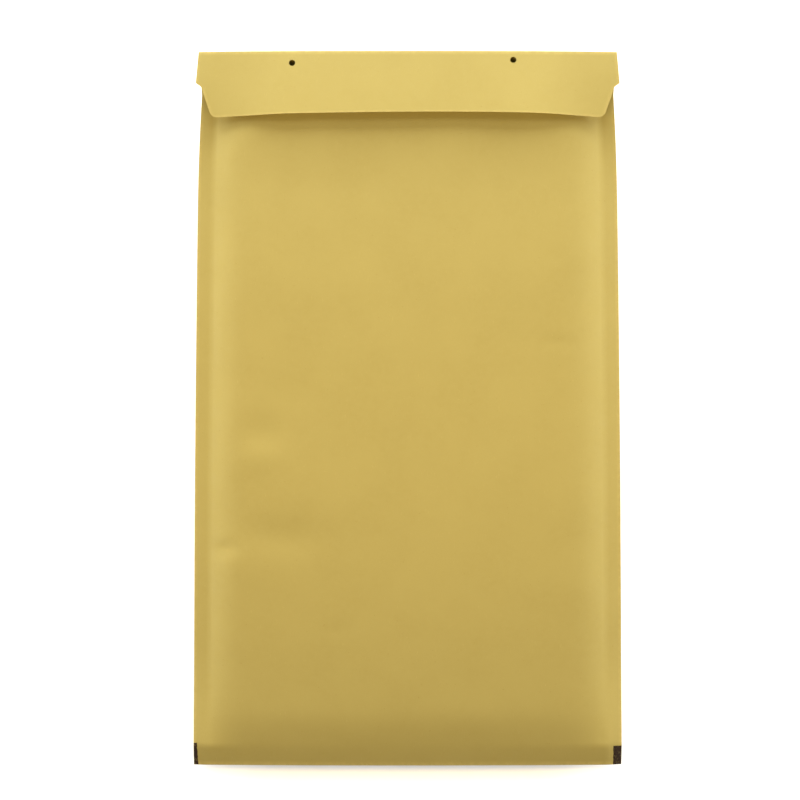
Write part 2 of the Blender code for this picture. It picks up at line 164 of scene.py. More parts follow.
# Short pressed creases in the welded margins: start, end, half width, depth
MARGIN_CREASES = (
    ((-0.0745, -0.1188), (-0.0716, -0.1256), 0.0006, 0.00012),
    ((0.0687, -0.1166), (0.0733, -0.1203), 0.0006, 0.00012),
)

# Soft lights: name, place, width and height, setting that holds the power
LIGHTS = (
    ("end_light", (0.0, 0.82, 0.275), (1.4, 0.42), "key_power"),
    ("high_light", (0.0, 0.58, 0.69), (1.2, 0.25), "high_power"),
    ("front_light", (0.0, -0.75, 0.10), (1.2, 0.12), "front_power"),
    ("overhead_light", (0.0, 0.0, 0.32), (0.8, 0.12), "overhead_power"),
    ("left_light", (-0.75, 0.12, 0.20), (0.9, 0.15), "side_power"),
    ("right_light", (0.75, 0.12, 0.20), (0.9, 0.15), "side_power"),
    ("table_light", (0.0, 0.0, 1.5), (2.0, 2.0), "table_power"),
)
TABLE_HALF_SIDE = 2.0
TABLE_GAP = 0.0001


def a_length(name, description, default):
    """Setting that holds a length."""
    return FloatProperty(name=name, description=description, default=default, unit="LENGTH", precision=5)


def a_power(name, description, default):
    """Setting that holds a light's power."""
    return FloatProperty(name=name, description=description, default=default, unit="POWER")


def a_color(name, description, default):
    """Setting that holds a colour."""
    return FloatVectorProperty(name=name, description=description, default=default, subtype="COLOR",
                               size=3, min=0.0, max=1.0)


class EnvelopeSizes(bpy.types.PropertyGroup):
    """Sizes of the paper, the lining and the strips."""
    body_taper: a_length("Body taper", "How far each side draws in from bottom to mouth", 0.0020)
    mouth_draw_in: a_length("Mouth draw-in", "Further draw-in of each side at the mouth", 0.0009)
    bottom_bow: a_length("Bottom bow", "How far the bottom edge bows out", 0.0003)
    side_bow: a_length("Side bow", "How far each side bows out halfway up", 0.0005)
    side_seam: a_length("Side seam", "Width of the welded side margins", 0.0054)
    bottom_seam: a_length("Bottom seam", "Width of the welded bottom margin", 0.0070)
    paper: a_length("Paper", "Thickness of the paper", 0.0002)
    film: a_length("Film", "Thickness of the film between bubbles", 0.0003)
    margin_film: a_length("Margin film", "Thickness of the welded film in the margins", 0.0002)
    layer_gap: a_length("Layer gap", "Air left between layers", 0.00006)
    pad_height: a_length("Pad height", "Height of the padded field", 0.0122)
    left_droop: a_length("Left droop", "How far the left margin's edge hangs down", 0.0009)
    right_droop: a_length("Right droop", "How far the right margin's edge hangs down", 0.0018)
    bottom_droop: a_length("Bottom droop", "How far the bottom margin's edge hangs down", 0.0023)
    bottom_lift: a_length("Bottom lift", "How much higher the bottom margin stands", 0.0024)
    front_fall: a_length("Front fall", "How far the front sinks towards the bottom", 0.0029)
    mouth_fall: a_length("Mouth fall", "How far the front sinks towards the mouth", 0.0012)
    mouth_rise: a_length("Mouth rise", "How far the front turns up again beside the mouth", 0.0011)
    left_shoulder: a_length("Left shoulder", "Run of the slope beside the left margin", 0.0150)
    right_shoulder: a_length("Right shoulder", "Run of the slope beside the right margin", 0.0200)
    bottom_shoulder: a_length("Bottom shoulder", "Run of the slope above the bottom", 0.0160)
    mouth_shoulder: a_length("Mouth shoulder", "Run of the side slope at the mouth", 0.0300)
    mouth_ease: a_length("Mouth ease", "Stretch in which the sides open to the mouth", 0.0200)
    front_crown: a_length("Front crown", "Crown of the front panel", 0.0005)
    crease_height: a_length("Crease height", "Height of the flap's crease, halfway across", 0.0125)
    crease_drop: a_length("Crease drop", "How far the crease drops towards its ends", 0.0036)
    crease_rise: a_length("Crease rise", "Stretch in which the back rises to the crease", 0.0240)
    mouth_to_crease: a_length("Mouth to crease", "Distance from the mouth to the crease", 0.0155)
    flap_length: a_length("Flap length", "Flap from the crease to its free edge", 0.0234)
    flap_trim: a_length("Flap trim", "How much shorter the flap is cut near its middle", 0.0016)
    flap_sag: a_length("Flap sag", "How far the free edge sags at the flap's ends", 0.0016)
    flap_lift: a_length("Flap lift", "Height of the flap over the mouth's edge", 0.0019)
    flare_at_crease: a_length("Flare at crease", "Flap beyond the mouth's side, at the crease", 0.00105)
    flare_at_notch: a_length("Flare at notch", "Flap beyond the mouth's side, at the notch", 0.0020)
    corner_taper: a_length("Corner taper", "Draw-in of the flap's lower corners", 0.0037)
    corner_radius: a_length("Corner radius", "Rounding of the flap's lower corners", 0.0018)
    notch_start: a_length("Notch start", "Distance from the crease to the notch", 0.0108)
    notch_length: a_length("Notch length", "Length of the notch", 0.0018)
    hole_diameter: a_length("Hole diameter", "Diameter of the punched holes", 0.0022)
    bubble_height: a_length("Bubble height", "Height of one bubble", 0.0028)
    bubble_diameter: a_length("Bubble diameter", "Diameter of one bubble", 0.0094)
    bubble_pitch: a_length("Bubble pitch", "Distance between bubble centres", 0.0105)
    pocket_side_wall: a_length("Pocket side wall", "Film between seam and pocket", 0.0025)
    lining_setback: a_length("Lining setback", "Paper beyond the lining at the mouth", 0.0010)
    glue_width: a_length("Glue width", "Width of the glue band", 0.0130)
    glue_from_edge: a_length("Glue from edge", "Flap between glue and free edge", 0.0030)
    glue_from_corner: a_length("Glue from corner", "Flap between glue and lower corner", 0.0056)
    strip_thickness: a_length("Strip thickness", "Thickness of glue and release strip", 0.00012)
    liner_side_overlap: a_length("Liner side overlap", "Release strip beyond the glue's sides", 0.0010)
    liner_end_overlap: a_length("Liner end overlap", "Release strip beyond the glue's ends", 0.0020)
    ridge_wobble: FloatProperty(name="Ridge wobble", description="Unevenness of the side slopes",
                                default=0.10, min=0.0, max=0.5, subtype="FACTOR")
    waviness: a_length("Waviness", "Height of the field's gentle waves", 0.00015)
    mesh_step: a_length("Mesh step", "Distance between points of the front panel", 0.00125)
    film_step: a_length("Film step", "Distance between points of the bubble film", 0.0012)
    skin_step: a_length("Skin step", "Distance between points of the pouch's outer skin", 0.0016)


class EnvelopeColors(bpy.types.PropertyGroup):
    """Colours of the envelope's finishes, in linear light."""
    kraft_light: a_color("Kraft light", "Lighter tone of the kraft paper", (0.395, 0.325, 0.098))
    kraft_dark: a_color("Kraft dark", "Darker tone of the kraft paper", (0.372, 0.303, 0.088))
    kraft_fibre: a_color("Kraft fibre", "Pale fibres in the paper", (0.56, 0.44, 0.15))
    kraft_fleck: a_color("Kraft fleck", "Dark flecks in the paper", (0.27, 0.185, 0.045))
    ink: a_color("Ink", "Registration marks", (0.026, 0.013, 0.005))
    film: a_color("Film", "Clear bubble film", (0.80, 0.84, 0.86))
    glue: a_color("Glue", "Glue band", (0.70, 0.62, 0.38))
    liner: a_color("Liner", "Release strip", (0.84, 0.83, 0.79))
    floor: a_color("Floor", "Studio floor", (0.92, 0.92, 0.92))


class StudioSettings(bpy.types.PropertyGroup):
    """Camera and lights."""
    camera_height: a_length("Camera height", "Camera above the table", 1.10)
    scale_height: a_length("Scale height", "Height at which the photo's scale holds", 0.0065)
    photo_scale: a_length("Photo scale", "Length on the object that one pixel shows", 0.0003565)
    photo_centre_x: FloatProperty(name="Centre X", description="Envelope's centre, in pixels", default=407.7)
    photo_centre_y: FloatProperty(name="Centre Y", description="Envelope's centre, in pixels", default=409.1)
    high_power: a_power("High power", "Higher light beyond the flap's end", 2.3)
    key_power: a_power("Key power", "Low light beyond the flap's end", 15.5)
    side_power: a_power("Side power", "Each low side light", 4.0)
    front_power: a_power("Front power", "Low light below the bottom end", 1.4)
    overhead_power: a_power("Overhead power", "Long light above the middle", 0.95)
    overhead_color: a_color("Overhead colour", "Warm tint of the light above", (1.0, 0.64, 0.12))
    table_power: a_power("Table power", "Light that whitens the table", 21.0)
    sky: FloatProperty(name="Sky", description="Strength of the even light", default=0.10, min=0.0)


class EnvelopeShape:
    """Form of the envelope as functions of the place on it."""

    def __init__(self, sizes):
        self.s = sizes
        self.layer_step = sizes.paper + sizes.layer_gap
        self.margin_half = self.layer_step + sizes.margin_film / 2
        self.middle = sizes.pad_height / 2
        self.wall_half = self.middle - self.layer_step - sizes.film
        self.mouth_y = HALF_LENGTH - sizes.mouth_to_crease
        self.crease_y = HALF_LENGTH - self.margin_half
        self.bottom_y = self.margin_half - HALF_LENGTH
        self.seam_y = sizes.bottom_seam - HALF_LENGTH
        self.mouth_half = HALF_WIDTH - sizes.body_taper - sizes.mouth_draw_in
        self.crease_half = self.mouth_half + sizes.flare_at_crease

    def body_half_width(self, y):
        """Half the width between the cut side edges."""
        s = self.s
        if y > self.mouth_y:
            to_crease = clamp((y - self.mouth_y) / (self.crease_y - self.mouth_y))
            return blend(self.mouth_half, self.crease_half, to_crease)
        share = clamp((y + HALF_LENGTH) / (self.mouth_y + HALF_LENGTH))
        near_mouth = clamp((y - self.mouth_y + 2 * s.mouth_ease) / (2 * s.mouth_ease))
        bow = s.side_bow * 4.0 * share * (1.0 - share)
        return HALF_WIDTH - s.body_taper * share - s.mouth_draw_in * near_mouth ** 2 + bow

    def flap_half_width(self, reach):
        """Half the flap's width at a distance from the crease."""
        s = self.s
        notch_end = s.notch_start + s.notch_length
        if reach <= s.notch_start:
            return blend(self.crease_half, self.mouth_half + s.flare_at_notch, clamp(reach / s.notch_start))
        if reach <= notch_end:
            share = smooth((reach - s.notch_start) / s.notch_length)
            return blend(self.mouth_half + s.flare_at_notch, self.mouth_half, share)
        share = clamp((reach - notch_end) / (s.flap_length - notch_end))
        width = blend(self.mouth_half, self.mouth_half - s.corner_taper, share)
        into_corner = clamp(1.0 - (s.flap_length - reach) / s.corner_radius)
        return width - s.corner_radius * (1.0 - math.sqrt(1.0 - into_corner ** 2))

    def padding(self, x, y, inset=0.0):
        """How far the padded field has risen: 0 on the margins, 1 on the level field."""
        s = self.s
        near_mouth = clamp((y - self.mouth_y + s.mouth_ease) / s.mouth_ease)
        side_length, power, seed = s.left_shoulder, LEFT_SHOULDER_POWER, LEFT_RIDGE_SEED
        if x > 0:
            side_length, power, seed = s.right_shoulder, RIGHT_SHOULDER_POWER, RIGHT_RIDGE_SEED
        side_length = blend(side_length, s.mouth_shoulder, near_mouth ** 2)
        wobble = s.ridge_wobble * noise.noise(Vector((seed, y * RIDGE_WAVES, 0.0)))
        side_length *= 1.0 + wobble * (1.0 - near_mouth)
        from_side = self.body_half_width(min(y, self.mouth_y)) - s.side_seam - inset - abs(x)
        from_bottom = y + HALF_LENGTH - s.bottom_seam - inset
        bottom_rise = shoulder(from_bottom, s.bottom_shoulder, BOTTOM_SHOULDER_POWER)
        return shoulder(from_side, side_length, power) * bottom_rise

    def rise(self, y):
        """Height of the margins' underside over the table."""
        lift = self.s.bottom_lift * (1.0 - smooth((y + HALF_LENGTH) / BOTTOM_LIFT_LENGTH))
        return self.middle + lift - self.margin_half

    def crease_z(self, x):
        """Height of the crease's centre, which drops towards its ends."""
        return self.s.crease_height - self.s.crease_drop * abs(x / HALF_WIDTH) ** CREASE_DROP_POWER

    def droop(self, x, y):
        """How far the margins hang down at a place."""
        s = self.s
        edge = self.body_half_width(min(y, self.mouth_y))
        most = s.right_droop if x > 0 else s.left_droop
        side = most * (1.0 - clamp((edge - abs(x)) / s.side_seam)) * smooth((self.mouth_y - y) / DROOP_FADE)
        return side + s.bottom_droop * (1.0 - clamp((y + HALF_LENGTH) / s.bottom_seam))

    def back_slope(self, x):
        """Angle at which the back panel arrives at the crease."""
        level = self.rise(self.mouth_y) * (1.0 - self.padding(x, self.mouth_y))
        drop = self.crease_z(x) - self.margin_half - level
        return math.atan(CREASE_RISE_POWER * drop / self.s.crease_rise)

    def back_height(self, x, y):
        """Height of the back panel's outer face."""
        level = self.rise(y) * (1.0 - self.padding(x, y)) - self.droop(x, y)
        start_y = self.crease_y + self.margin_half * math.sin(self.back_slope(x))
        share = clamp((start_y - y) / self.s.crease_rise)
        if share >= 1.0:
            return level
        start_height = self.crease_z(x) - self.margin_half * math.cos(self.back_slope(x))
        return level + (start_height - level) * (1.0 - share) ** CREASE_RISE_POWER

    def margin_lift(self, y):
        """How much the side margins rise with the back panel near the crease."""
        if y < HALF_LENGTH - self.s.crease_rise:
            return 0.0
        edge = self.body_half_width(y)
        return self.back_height(edge, y) - self.rise(y) + self.droop(edge, y)

    def front_height(self, x, y):
        """Height of the front panel's outer face, before its dents."""
        crown = self.s.front_crown * (1.0 - (x / HALF_WIDTH) ** 2)
        margin = self.rise(y) + 2 * self.margin_half
        rise = (self.s.pad_height - margin + crown) * self.padding(x, y)
        return margin + self.margin_lift(y) + rise - self.droop(x, y)

    def front_relief(self, x, y):
        """Dents, swellings and gentle waves of the front panel."""
        s, field = self.s, self.padding(x, y)
        waves = sum(share * noise.noise(Vector((x * across, y * along, seed)))
                    for across, along, seed, share in FRONT_WAVES)
        height = s.waviness * waves * field
        height -= s.front_fall * field * clamp(1.0 - (y + HALF_LENGTH) / FRONT_FALL_LENGTH) ** 2
        height -= s.mouth_fall * field * smooth(1.0 - (self.mouth_y - y) / MOUTH_FALL_LENGTH)
        height += s.mouth_rise * field * smooth(1.0 - (self.mouth_y - y) / MOUTH_RISE_LENGTH)
        for centre_x, centre_y, half_length, half_width, depth, turn in SOFT_DENTS:
            along, across = turned(x - centre_x, y - centre_y, math.radians(turn))
            along, across = along / half_length, across / half_width
            if abs(along) < DENT_REACH_ALONG and abs(across) < DENT_REACH_ACROSS:
                height -= depth * math.exp(-along ** 2 - across ** 2 / 2) * (1.0 - DENT_RIM * across ** 2)
        for centre_x, centre_y, radius, swell in SOFT_SWELLS:
            height += swell * math.exp(-((x - centre_x) ** 2 + (y - centre_y) ** 2) / radius ** 2)
        for start, end, half_width, depth in MARGIN_CREASES:
            off = distance_to_line(x, y, start, end)
            height -= depth * math.exp(-(off / half_width) ** 2)
        return height

    def flap_angle(self, x):
        """Angle at which the flap leaves the crease."""
        rest = self.front_height(x, self.mouth_y) + self.s.flap_lift
        over_mouth = math.atan2(rest - self.crease_z(x) - self.margin_half, self.s.mouth_to_crease)
        difference = math.hypot(over_mouth - FLAP_END_ANGLE, FLAP_ANGLE_SOFTNESS)
        return (over_mouth + FLAP_END_ANGLE + difference) / 2

    def trimmed(self, x, reach):
        """Distance from the crease, after the free edge is cut to its slight curve."""
        s = self.s
        near_edge = clamp((reach - s.notch_start) / (s.flap_length - s.notch_start))
        half = FLAP_TRIM_LEFT if x < FLAP_TRIM_CENTRE else FLAP_TRIM_RIGHT
        profile = clamp(1.0 - ((x - FLAP_TRIM_CENTRE) / half) ** 2)
        return reach - s.flap_trim * profile * near_edge

    def flap_place(self, x, reach, depth=0.0):
        """Place (y, z) of a point of the flap, at a depth under its outer face."""
        angle = self.flap_angle(x)
        near_edge = (reach / self.s.flap_length) ** 2
        wave = FLAP_WAVE * noise.noise(Vector((x * FLAP_WAVES, 5.0, 1.0))) * near_edge
        y, z = self.around_fold(self.crease_y, self.crease_z(x), math.pi / 2 - angle)
        y -= reach * math.cos(angle) + depth * math.sin(angle)
        outwards = clamp((abs(x) - FLAP_SAG_START) / (self.mouth_half - FLAP_SAG_START))
        sag = self.s.flap_sag * outwards ** FLAP_SAG_POWER * near_edge
        z += reach * math.sin(angle) - depth * math.cos(angle) + wave - sag
        return y, z

    def around_fold(self, centre_y, centre_z, angle):
        """Point on the outer face of a fold; the angle grows upwards from level."""
        return centre_y + self.margin_half * math.cos(angle), centre_z + self.margin_half * math.sin(angle)

    def bowed(self, x, y, z):
        """Point of the model, after the bottom edge takes its slight outward bow."""
        towards_bottom = clamp(-y / HALF_LENGTH)
        return Vector((x, y + self.s.bottom_bow * (x / HALF_WIDTH) ** 2 * towards_bottom, z))

    def lining_low(self, x, y):
        """Underside of the pouch."""
        return self.back_height(x, y) + self.layer_step * steepness(self.back_height, x, y)

    def lining_high(self, x, y):
        """Top of the pouch, before the front panel's dents."""
        return self.front_height(x, y) - self.layer_step * steepness(self.front_height, x, y)

    def lining_relief(self, x, y):
        """Dents of the pouch's top: the lowest of the front panel's nearby."""
        reach = self.s.skin_step / 2
        around = ((0.0, 0.0), (reach, reach), (-reach, reach), (reach, -reach), (-reach, -reach))
        return min(self.front_relief(x + off_x, y + off_y) for off_x, off_y in around)


def clamp(value):
    """Limit a value to the range from 0 to 1."""
    return min(max(value, 0.0), 1.0)


def blend(low, high, share):
    """Go from low to high as share goes from 0 to 1."""
    return low + (high - low) * share


def smooth(share):
    """Ease in and out between 0 and 1."""
    share = clamp(share)
    return share * share * (3.0 - 2.0 * share)


def shoulder(distance, length, power):
    """Rise from 0 at a seam to 1 on the field, steep first and level at the end."""
    return 1.0 - (1.0 - clamp(distance / length)) ** power


def turned(x, y, angle):
    """Place along and across a direction."""
    return x * math.cos(angle) + y * math.sin(angle), y * math.cos(angle) - x * math.sin(angle)


def distance_to_line(x, y, start, end):
    """Distance from a place to a short line."""
    along_x, along_y = end[0] - start[0], end[1] - start[1]
    share = clamp(((x - start[0]) * along_x + (y - start[1]) * along_y) / (along_x ** 2 + along_y ** 2))
    return math.hypot(x - start[0] - share * along_x, y - start[1] - share * along_y)


def steepness(height, x, y):
    """Ratio of vertical to square-on thickness on a sloping face."""
    across = (height(x + SLOPE_PROBE, y) - height(x - SLOPE_PROBE, y)) / (2 * SLOPE_PROBE)
    along = (height(x, y + SLOPE_PROBE) - height(x, y - SLOPE_PROBE)) / (2 * SLOPE_PROBE)
    return math.sqrt(1.0 + across ** 2 + along ** 2)


def spread(start, end, step):
    """Even places from start to end, about a step apart, both ends included."""
    count = max(1, round(abs(end - start) / step))
    return [blend(start, end, number / count) for number in range(count + 1)]


def grid_mesh(columns, rows):
    """Flat grid of faces whose vertices keep the number of their column and row."""
    mesh = bmesh.new()
    column_of = mesh.verts.layers.int.new("column")
    row_of = mesh.verts.layers.int.new("row")
    bmesh.ops.create_grid(mesh, x_segments=columns - 1, y_segments=rows - 1, size=1.0)
    for vert in mesh.verts:
        vert[column_of] = round((vert.co.x + 1.0) / 2.0 * (columns - 1))
        vert[row_of] = round((vert.co.y + 1.0) / 2.0 * (rows - 1))
    return mesh, column_of, row_of


def columns_across(sizes, step):
    """Columns from left to right, as (side, distance from the edge, share of the way out)."""
    seam = sizes.side_seam
    insets = spread(0.0, seam, step) + spread(seam, seam + sizes.left_shoulder, step)[1:]
    inner = HALF_WIDTH - insets[-1]
    shares = [1.0 - place / inner for place in spread(0.0, inner, step)[1:-1]]
    half = [(inset, 1.0) for inset in insets] + [(insets[-1], share) for share in shares]
    left = [(-1, inset, share) for inset, share in half]
    right = [(1, inset, share) for inset, share in reversed(half)]
    return left + [(1, insets[-1], 0.0)] + right


def place_across(column, half_width):
    """Place of a column across a row of the given half width."""
    side, inset, share = column
    return side * (half_width - inset) * share


def add_mesh(name, mesh):
    """Put a mesh into the scene as an object."""
    data = bpy.data.meshes.new(name)
    mesh.to_mesh(data)
    mesh.free()
    item = bpy.data.objects.new(name, data)
    bpy.context.scene.collection.objects.link(item)
    return item


def add_piece(name, mesh, material, node):
    """Put a mesh into the scene as the piece that stands for a node of the frame."""
    piece = add_mesh(name, mesh)
    piece.data.materials.append(material)
    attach(piece, "root")
    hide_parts(node)
    return piece


def apply_modifiers(piece):
    """Make what the piece's modifiers show its own mesh."""
    graph = bpy.context.evaluated_depsgraph_get()
    data = bpy.data.meshes.new_from_object(piece.evaluated_get(graph))
    piece.modifiers.clear()
    piece.data = data


def finish_surface(piece):
    """Apply the piece's modifiers and shade it smooth, apart from sharp edges."""
    apply_modifiers(piece)
    piece.data.shade_smooth()
    piece.data.set_sharp_from_angle(angle=SHARP_ANGLE)


def add_thickness(piece, thickness):
    """Thicken a sheet inwards from its outer face."""
    solidify = piece.modifiers.new("thickness", "SOLIDIFY")
    solidify.thickness = thickness
    solidify.offset = -1.0
    solidify.use_even_offset = True


def cut_away(piece, cutters):
    """Take closed shapes away from a piece, and remove them."""
    for cutter in cutters:
        cut = piece.modifiers.new("cut", "BOOLEAN")
        cut.operation = "DIFFERENCE"
        cut.solver = "EXACT"
        cut.object = cutter
    apply_modifiers(piece)
    for cutter in cutters:
        bpy.data.objects.remove(cutter)


class SheetLayout:
    """Columns and rows of the fine kraft sheet."""

    def __init__(self, shape):
        self.shape = shape
        self.columns = columns_across(shape.s, shape.s.mesh_step)
        self.rows = self.make_rows(shape.s.mesh_step)

    def make_rows(self, step):
        """Rows from the flap's free edge round to the mouth, as (zone, value)."""
        shape, s = self.shape, self.shape.s
        notch_end = s.notch_start + s.notch_length
        seam_y = shape.seam_y
        rise_end = HALF_LENGTH - s.crease_rise
        corner = spread(s.flap_length, s.flap_length - s.corner_radius, CORNER_ROWS * step)
        taper = spread(s.flap_length - s.corner_radius, notch_end, step)[1:]
        notch = spread(notch_end, s.notch_start, NOTCH_ROWS * step)[1:]
        root = spread(s.notch_start, 0.0, step)[1:]
        fold = [number / FOLD_STEPS for number in range(1, FOLD_STEPS)]
        rise = spread(0.0, 1.0, RISE_ROWS * step / s.crease_rise)
        back = spread(rise_end, seam_y, BACK_ROWS * step)[1:] + spread(seam_y, shape.bottom_y, step)[1:]
        front = spread(shape.bottom_y, seam_y, step) + spread(seam_y, shape.mouth_y, step)[1:]
        rows = [("flap", reach) for reach in corner + taper + notch + root]
        rows += [("crease", share) for share in fold]
        rows += [("rise", share) for share in rise]
        rows += [("back", y) for y in back]
        rows += [("bottom", share) for share in fold]
        rows += [("front", y) for y in front]
        return rows

    def point(self, row, column):
        """Point of the sheet's outer face."""
        zone, value = row
        shape, s = self.shape, self.shape.s
        if zone == "flap":
            share = place_across(column, shape.crease_half) / shape.crease_half
            x = share * shape.flap_half_width(value)
            y, z = shape.flap_place(x, shape.trimmed(x, value))
        elif zone == "crease":
            x = place_across(column, shape.crease_half)
            top = math.pi / 2 - shape.flap_angle(x)
            y, z = shape.around_fold(shape.crease_y, shape.crease_z(x),
                                     blend(top, shape.back_slope(x) - math.pi / 2, value))
        elif zone == "rise":
            x = place_across(column, shape.body_half_width(shape.crease_y - value * s.crease_rise))
            y = shape.crease_y + shape.margin_half * math.sin(shape.back_slope(x)) - value * s.crease_rise
            z = shape.back_height(x, y)
        elif zone == "bottom":
            x = place_across(column, shape.body_half_width(shape.bottom_y))
            angle = blend(1.5 * math.pi, 0.5 * math.pi, value)
            centre_z = shape.rise(shape.bottom_y) + shape.margin_half - shape.droop(x, shape.bottom_y)
            y, z = shape.around_fold(shape.bottom_y, centre_z, angle)
        elif zone == "back":
            x, y = place_across(column, shape.body_half_width(value)), value
            z = shape.back_height(x, y)
        else:
            x, y = place_across(column, shape.body_half_width(value)), value
            z = shape.front_height(x, y) + shape.front_relief(x, y)
        return shape.bowed(x, y, z)


def edge_wear(row, column, shape):
    """How much the paper is lightened at a point, 1 on cut edges and creases, fading within a millimetre:
    wear at the creases and a painted highlight along the cut edges.
    """
    zone, value = row
    from_side = column[1] if column[2] == 1.0 else 1.0
    from_end = 1.0
    if zone == "flap":
        from_end = min(value, shape.s.flap_length - value)
    elif zone in ("crease", "bottom"):
        from_end = 0.0
    elif zone == "front":
        from_end = min(value - shape.bottom_y, shape.mouth_y - value)
    return clamp(1.0 - min(from_side, from_end) / EDGE_WEAR_AND_HIGHLIGHT_FADE)


class Finish:
    """Small helper that lays out one procedural material."""

    def __init__(self, name):
        self.material = bpy.data.materials.new(name)
        self.material.use_nodes = True
        self.tree = self.material.node_tree
        self.shader = self.tree.nodes["Principled BSDF"]
        self.place = self.tree.nodes.new("ShaderNodeTexCoord").outputs["Object"]

    def link(self, source, socket):
        """Join an output to an input."""
        self.tree.links.new(source, socket)

    def feed(self, name, value):
        """Put a constant or an output on one of the shader's inputs."""
        self.fill(self.shader.inputs[name], value)

    def fill(self, socket, value):
        """Put a constant or an output on an input."""
        if isinstance(value, bpy.types.NodeSocket):
            self.link(value, socket)
        else:
            socket.default_value = value

    def node(self, kind, values, **settings):
        """New node of a kind, with its settings and what its inputs get."""
        node = self.tree.nodes.new("ShaderNode" + kind)
        for name, value in settings.items():
            setattr(node, name, value)
        for name, value in values.items():
            self.fill(node.inputs[name], value)
        return node

    def stretched(self, scale, turn=0.0):
        """Object coordinates, stretched and turned about Z."""
        values = {"Scale": scale, "Rotation": (0.0, 0.0, math.radians(turn)), "Vector": self.place}
        return self.node("Mapping", values).outputs["Vector"]

    def noise(self, scale, detail=3.0, rough=0.5, vector=None):
        """Soft random field."""
        values = {"Scale": scale, "Detail": detail, "Roughness": rough, "Vector": vector or self.place}
        return self.node("TexNoise", values).outputs["Fac"]

    def ranged(self, source, low, high, to_low=0.0, to_high=1.0):
        """Stretch a part of a field's range."""
        values = {"Value": source, "From Min": low, "From Max": high, "To Min": to_low, "To Max": to_high}
        return self.node("MapRange", values, interpolation_type="SMOOTHSTEP").outputs["Result"]

    def math(self, operation, first, second):
        """Arithmetic on two fields or numbers."""
        return self.node("Math", {0: first, 1: second}, operation=operation).outputs["Value"]

    def mixed(self, factor, first, second):
        """Blend two colours by a field."""
        values = {"Factor": factor, MIX_COLOR_A: first, MIX_COLOR_B: second}
        return self.node("Mix", values, data_type="RGBA").outputs[MIX_COLOR_RESULT]

    def bump(self, height, distance, strength, under=None):
        """Relief too fine for the mesh."""
        node = self.node("Bump", {"Distance": distance, "Strength": strength, "Height": height})
        if under is not None:
            self.link(under, node.inputs["Normal"])
        return node.outputs["Normal"]


def opaque(color, share=1.0):
    """Colour with full alpha, darkened to a share of its brightness."""
    return (*(share * value for value in color), 1.0)


def ink_mask(finish):
    """Registration marks over both bottom corners, the left one narrowing upwards."""
    split = finish.node("SeparateXYZ", {"Vector": finish.place})
    x, y = split.outputs["X"], split.outputs["Y"]
    ragged = finish.math("MULTIPLY", finish.math("SUBTRACT", finish.noise(900.0), 0.5), MARK_RAGGED)
    x, y = finish.math("ADD", x, ragged), finish.math("ADD", y, ragged)
    lean = finish.math("MULTIPLY", finish.math("ADD", y, HALF_LENGTH), MARK_LEAN)
    left_x = finish.math("ADD", finish.math("MULTIPLY", x, -1.0), -HALF_WIDTH + MARK_LEFT)
    left = finish.ranged(finish.math("SUBTRACT", left_x, lean), 0.0, MARK_SOFT)
    right = finish.ranged(finish.math("SUBTRACT", x, HALF_WIDTH - MARK_RIGHT), 0.0, MARK_SOFT)
    marks = []
    for side, height in ((left, MARK_LEFT_TOP), (right, MARK_RIGHT_TOP)):
        top = height - HALF_LENGTH
        marks.append(finish.math("MULTIPLY", side, finish.ranged(y, top + MARK_SOFT, top)))
    return finish.math("MAXIMUM", *marks)


def kraft_finish(colors):
    """Golden kraft paper: soft mottling, fibres, flecks, edges lightened by wear at the creases and by a
    painted highlight along the cut edges, and the printed marks.
    """
    finish = Finish("golden_kraft")
    cloud = finish.ranged(finish.noise(55.0, 4.0, 0.55), *NOISE_SPREAD)
    tone = finish.mixed(cloud, opaque(colors.kraft_dark), opaque(colors.kraft_light))
    mottle = finish.ranged(finish.noise(420.0, 5.0, 0.65), 0.35, 0.65, 0.35, 0.65)
    base = finish.mixed(mottle, tone, opaque(colors.kraft_light))
    along = finish.noise(1.0, 4.0, 0.6, finish.stretched((5200.0, 620.0, 900.0), 12.0))
    across = finish.noise(1.0, 4.0, 0.6, finish.stretched((700.0, 4800.0, 900.0), -20.0))
    fibres = finish.math("MAXIMUM", finish.ranged(along, 0.62, 0.80, 0.0, 0.55),
                         finish.ranged(across, 0.64, 0.82, 0.0, 0.5))
    base = finish.mixed(fibres, base, opaque(colors.kraft_fibre))
    flecks = finish.ranged(finish.noise(1500.0, 2.0, 0.5), 0.70, 0.80, 0.0, 0.45)
    base = finish.mixed(flecks, base, opaque(colors.kraft_fleck))
    # Paper lightened at cut edges and creases: wear at the creases, a painted highlight along the cut edges
    wear_and_highlight = finish.node("Attribute", {}, attribute_name="edge_wear")
    uneven = finish.ranged(finish.noise(600.0), *NOISE_SPREAD, 0.15, 0.5)
    worn_and_highlit = finish.math("MULTIPLY", wear_and_highlight.outputs["Fac"], uneven)
    base = finish.mixed(worn_and_highlit, base, opaque(colors.kraft_fibre))
    printed = finish.ranged(finish.noise(1200.0), 0.2, 0.5, 0.75, 1.0)
    base = finish.mixed(finish.math("MULTIPLY", ink_mask(finish), printed), base, opaque(colors.ink))
    finish.feed("Base Color", base)
    finish.feed("Roughness", finish.ranged(finish.noise(300.0, 4.0, 0.6), *NOISE_SPREAD, 0.60, 0.76))
    finish.feed("Specular IOR Level", 0.2)
    finish.feed("Sheen Weight", 0.05)
    grain = finish.bump(finish.noise(2600.0, 6.0, 0.7), 0.00004, 0.35)
    finish.feed("Normal", finish.bump(fibres, 0.00003, 0.4, grain))
    return finish.material


